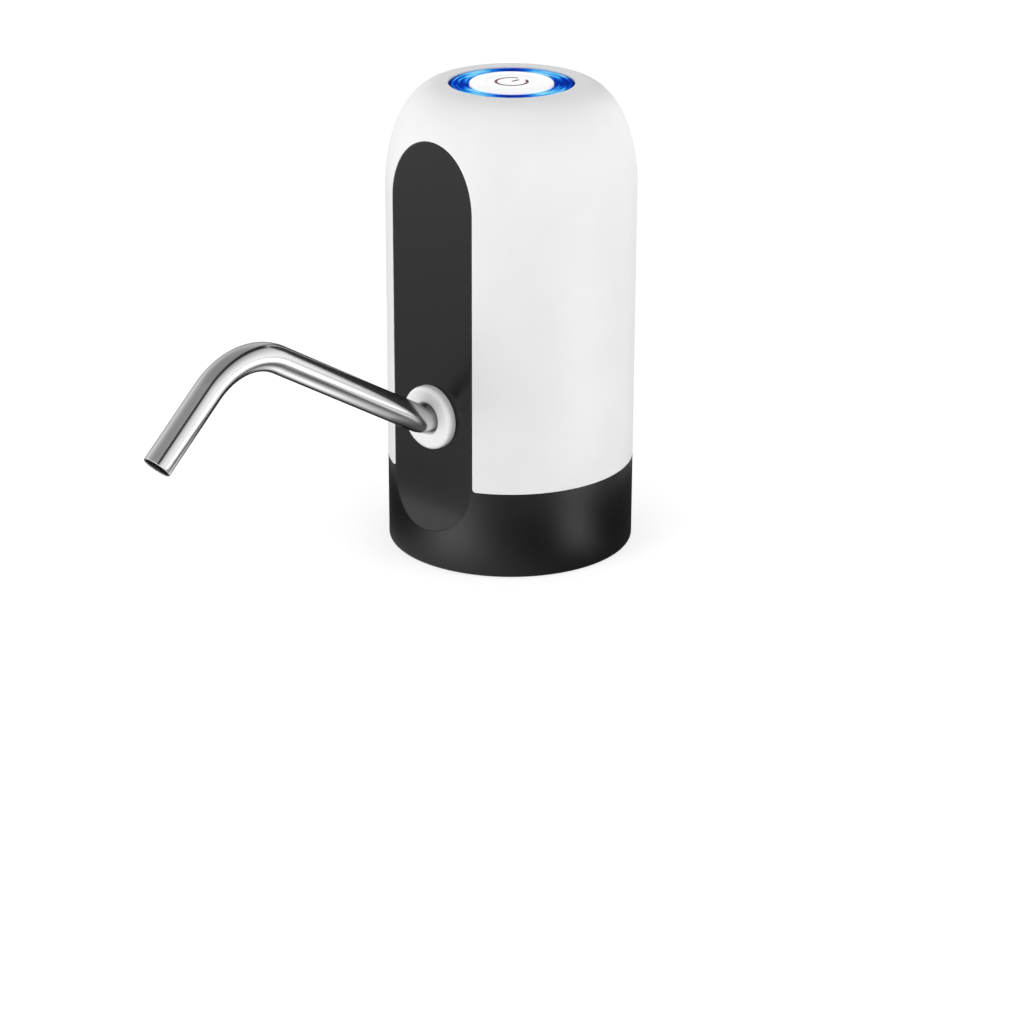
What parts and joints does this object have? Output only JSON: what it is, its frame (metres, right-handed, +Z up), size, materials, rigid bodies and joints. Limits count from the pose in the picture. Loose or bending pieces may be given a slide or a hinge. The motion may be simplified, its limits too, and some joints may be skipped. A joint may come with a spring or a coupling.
{
  "type": "bottled water pump",
  "caption": "Cordless pump that stands on a water bottle's neck: white domed housing on a black base, lit push button, and a bent steel spout that swivels and pulls out.",
  "frame": {"origin": "centre of the neck socket's mouth, in the housing's underside", "axes": "+Z up along the housing's axis; -Y towards the flat front and the spout; +X to the right seen from the front"},
  "size_m": [0.072, 0.1741, 0.137],
  "materials": {
    "white_shell": "satin moulded",
    "black_shell": "satin moulded",
    "white_plug": "smooth moulded",
    "white_button": "smooth moulded",
    "clear_ring": "clear, lit from below",
    "polished_steel": "polished stainless steel",
    "rubber": "moulded",
    "silicone": "translucent",
    "pump_plastic": "moulded",
    "frame_plastic": "moulded",
    "screw_steel": "plated",
    "can_steel": "drawn",
    "magnet": "sintered",
    "contact_metal": "plated",
    "cell_wrap": "wrapped",
    "board": "coated",
    "lamp": "lens",
    "lead_cover": "smooth"
  },
  "bodies": {
    "housing": {"upper_shell": "white_shell", "base_housing": "black_shell", "neck_socket": "black_shell", "neck_grip_ring": "rubber", "outlet_socket": "black_shell", "outlet_hose": "silicone", "inlet_hose": "silicone", "head_cover": "pump_plastic", "valve_plate": "pump_plastic", "check_valves": "rubber", "diaphragm": "rubber", "crank_case": "pump_plastic", "pump_screws": "screw_steel", "motor_can": "can_steel", "motor_magnets": "magnet", "motor_end_cap": "pump_plastic", "motor_brushes": "contact_metal", "battery_cell": "cell_wrap", "battery_tabs": "contact_metal", "battery_strap": "frame_plastic", "chassis": "frame_plastic", "base_screws": "screw_steel", "charge_board": "board", "charge_socket": "can_steel", "control_board": "board", "board_screws": "screw_steel", "tact_switch": "pump_plastic", "ring_leds": "lamp", "light_ring": "clear_ring", "motor_leads": "lead_cover", "charge_leads": "lead_cover", "battery_lead": "lead_cover"},
    "button": {"button_cap": "white_button", "switch_plunger": "pump_plastic"},
    "spout_plug": {"spout_collar": "white_plug", "collar_seals": "rubber"},
    "spout": {"spout_tube": "polished_steel"},
    "rotor": {"motor_shaft": "screw_steel", "motor_rotor": "can_steel", "crank_disc": "frame_plastic"},
    "wobble": {"wobble_plate": "frame_plastic"}
  },
  "joints": [
    {"name": "button_press", "type": "slide", "parent": "housing", "child": "button", "axis": [0, 0, -1], "range_m": [0, 0.0006], "stiffness_N_per_m": 800, "springref_m": -0.0003},
    {"name": "spout_pull", "type": "slide", "parent": "housing", "child": "spout_plug", "axis": [0, -1, 0], "range_m": [0, 0.025]},
    {"name": "spout_swivel", "type": "hinge", "parent": "spout_plug", "child": "spout", "pos_m": [0, 0, 0.045], "axis": [0, -1, 0], "continuous": true},
    {"name": "motor_spin", "type": "hinge", "parent": "housing", "child": "rotor", "pos_m": [-0.007, -0.009, 0.1], "axis": [0, 0, 1], "continuous": true},
    {"name": "wobble_turn", "type": "hinge", "parent": "rotor", "child": "wobble", "pos_m": [-0.007, -0.009, 0.072], "axis": [0.1305, 0, 0.9914], "continuous": true, "deforming": ["diaphragm"]}
  ],
  "couplings": [
    {"joint": "wobble_turn", "follows": "motor_spin", "ratio": -1}
  ]
}
